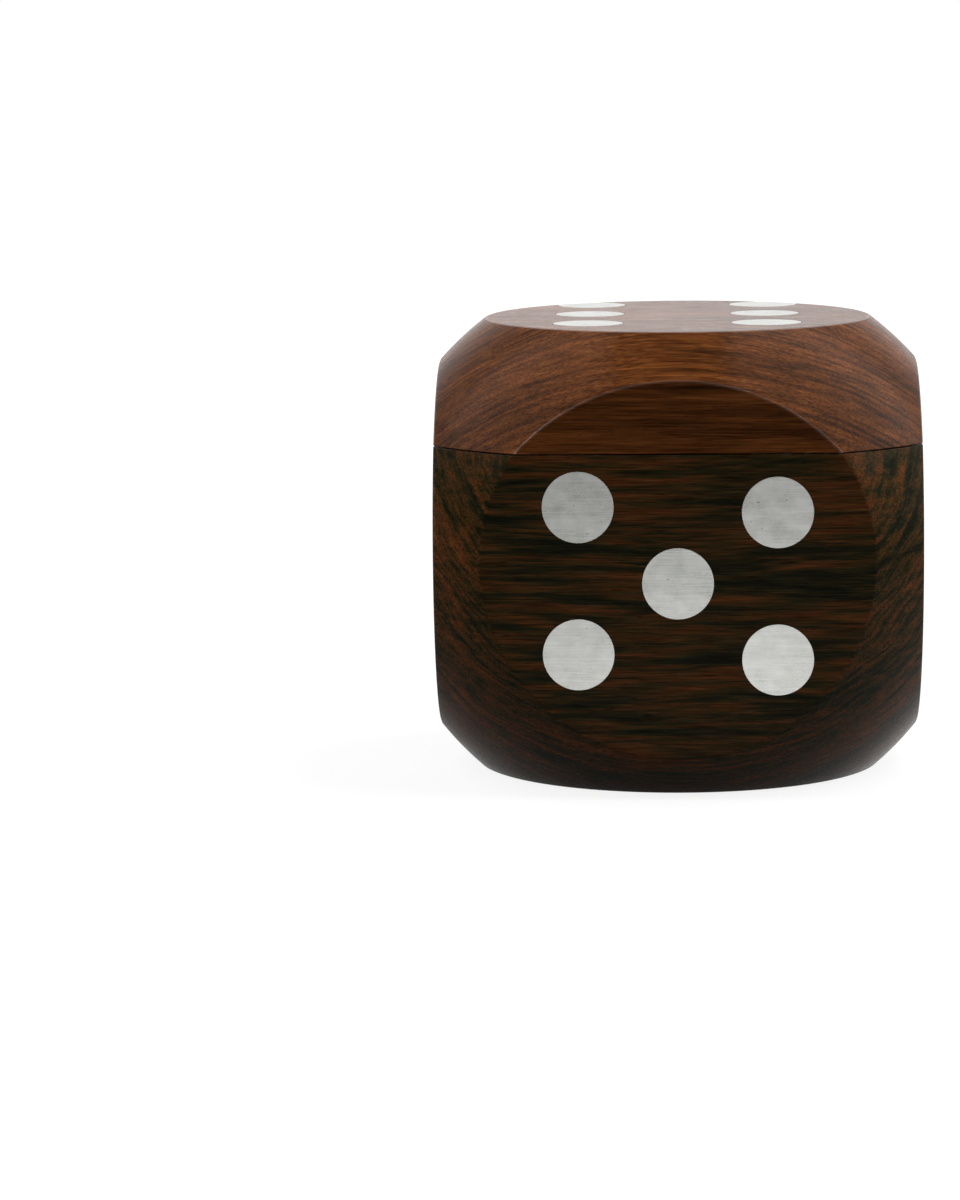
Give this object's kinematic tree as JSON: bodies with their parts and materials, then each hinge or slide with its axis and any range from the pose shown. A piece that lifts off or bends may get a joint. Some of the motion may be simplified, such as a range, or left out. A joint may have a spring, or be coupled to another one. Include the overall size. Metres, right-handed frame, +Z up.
{
  "type": "dice box with hinged lid",
  "caption": "Keepsake box shaped like a large die: ball-rounded wood block with flush metal dots, a round bore inside and a lid on a brass butt hinge at the back.",
  "frame": {"origin": "centre of the base, on the plane the box stands on, midway between the block's flat faces", "axes": "+Z up, front face with five dots towards -Y, hinge towards +Y, +X to the right as seen from the front"},
  "size_m": [0.076, 0.0802, 0.0717],
  "materials": {
    "body_wood": "satin",
    "lid_wood": "satin",
    "dot_metal": "brushed",
    "hinge_brass": "satin",
    "screw_brass": "satin"
  },
  "bodies": {
    "box": {"box_body": "body_wood", "pip_front_1": "dot_metal", "pip_front_2": "dot_metal", "pip_front_3": "dot_metal", "pip_front_4": "dot_metal", "pip_front_5": "dot_metal", "pip_left_1": "dot_metal", "pip_left_2": "dot_metal", "pip_left_3": "dot_metal", "pip_right_1": "dot_metal", "pip_right_2": "dot_metal", "pip_right_3": "dot_metal", "pip_right_4": "dot_metal", "pip_back_1": "dot_metal", "pip_back_2": "dot_metal", "pip_bottom": "dot_metal", "hinge_body_leaf": "hinge_brass", "hinge_pin": "hinge_brass", "body_screw_left": "screw_brass", "body_screw_right": "screw_brass"},
    "lid": {"lid": "lid_wood", "pip_top_1": "dot_metal", "pip_top_2": "dot_metal", "pip_top_3": "dot_metal", "pip_top_4": "dot_metal", "pip_top_5": "dot_metal", "pip_top_6": "dot_metal", "hinge_lid_leaf": "hinge_brass", "lid_screw_left": "screw_brass", "lid_screw_right": "screw_brass"}
  },
  "joints": [
    {"name": "lid_hinge", "type": "hinge", "parent": "box", "child": "lid", "pos_m": [0, 0.0402, 0.0536], "axis": [-1, 0, 0], "range_deg": [0, 180]}
  ]
}
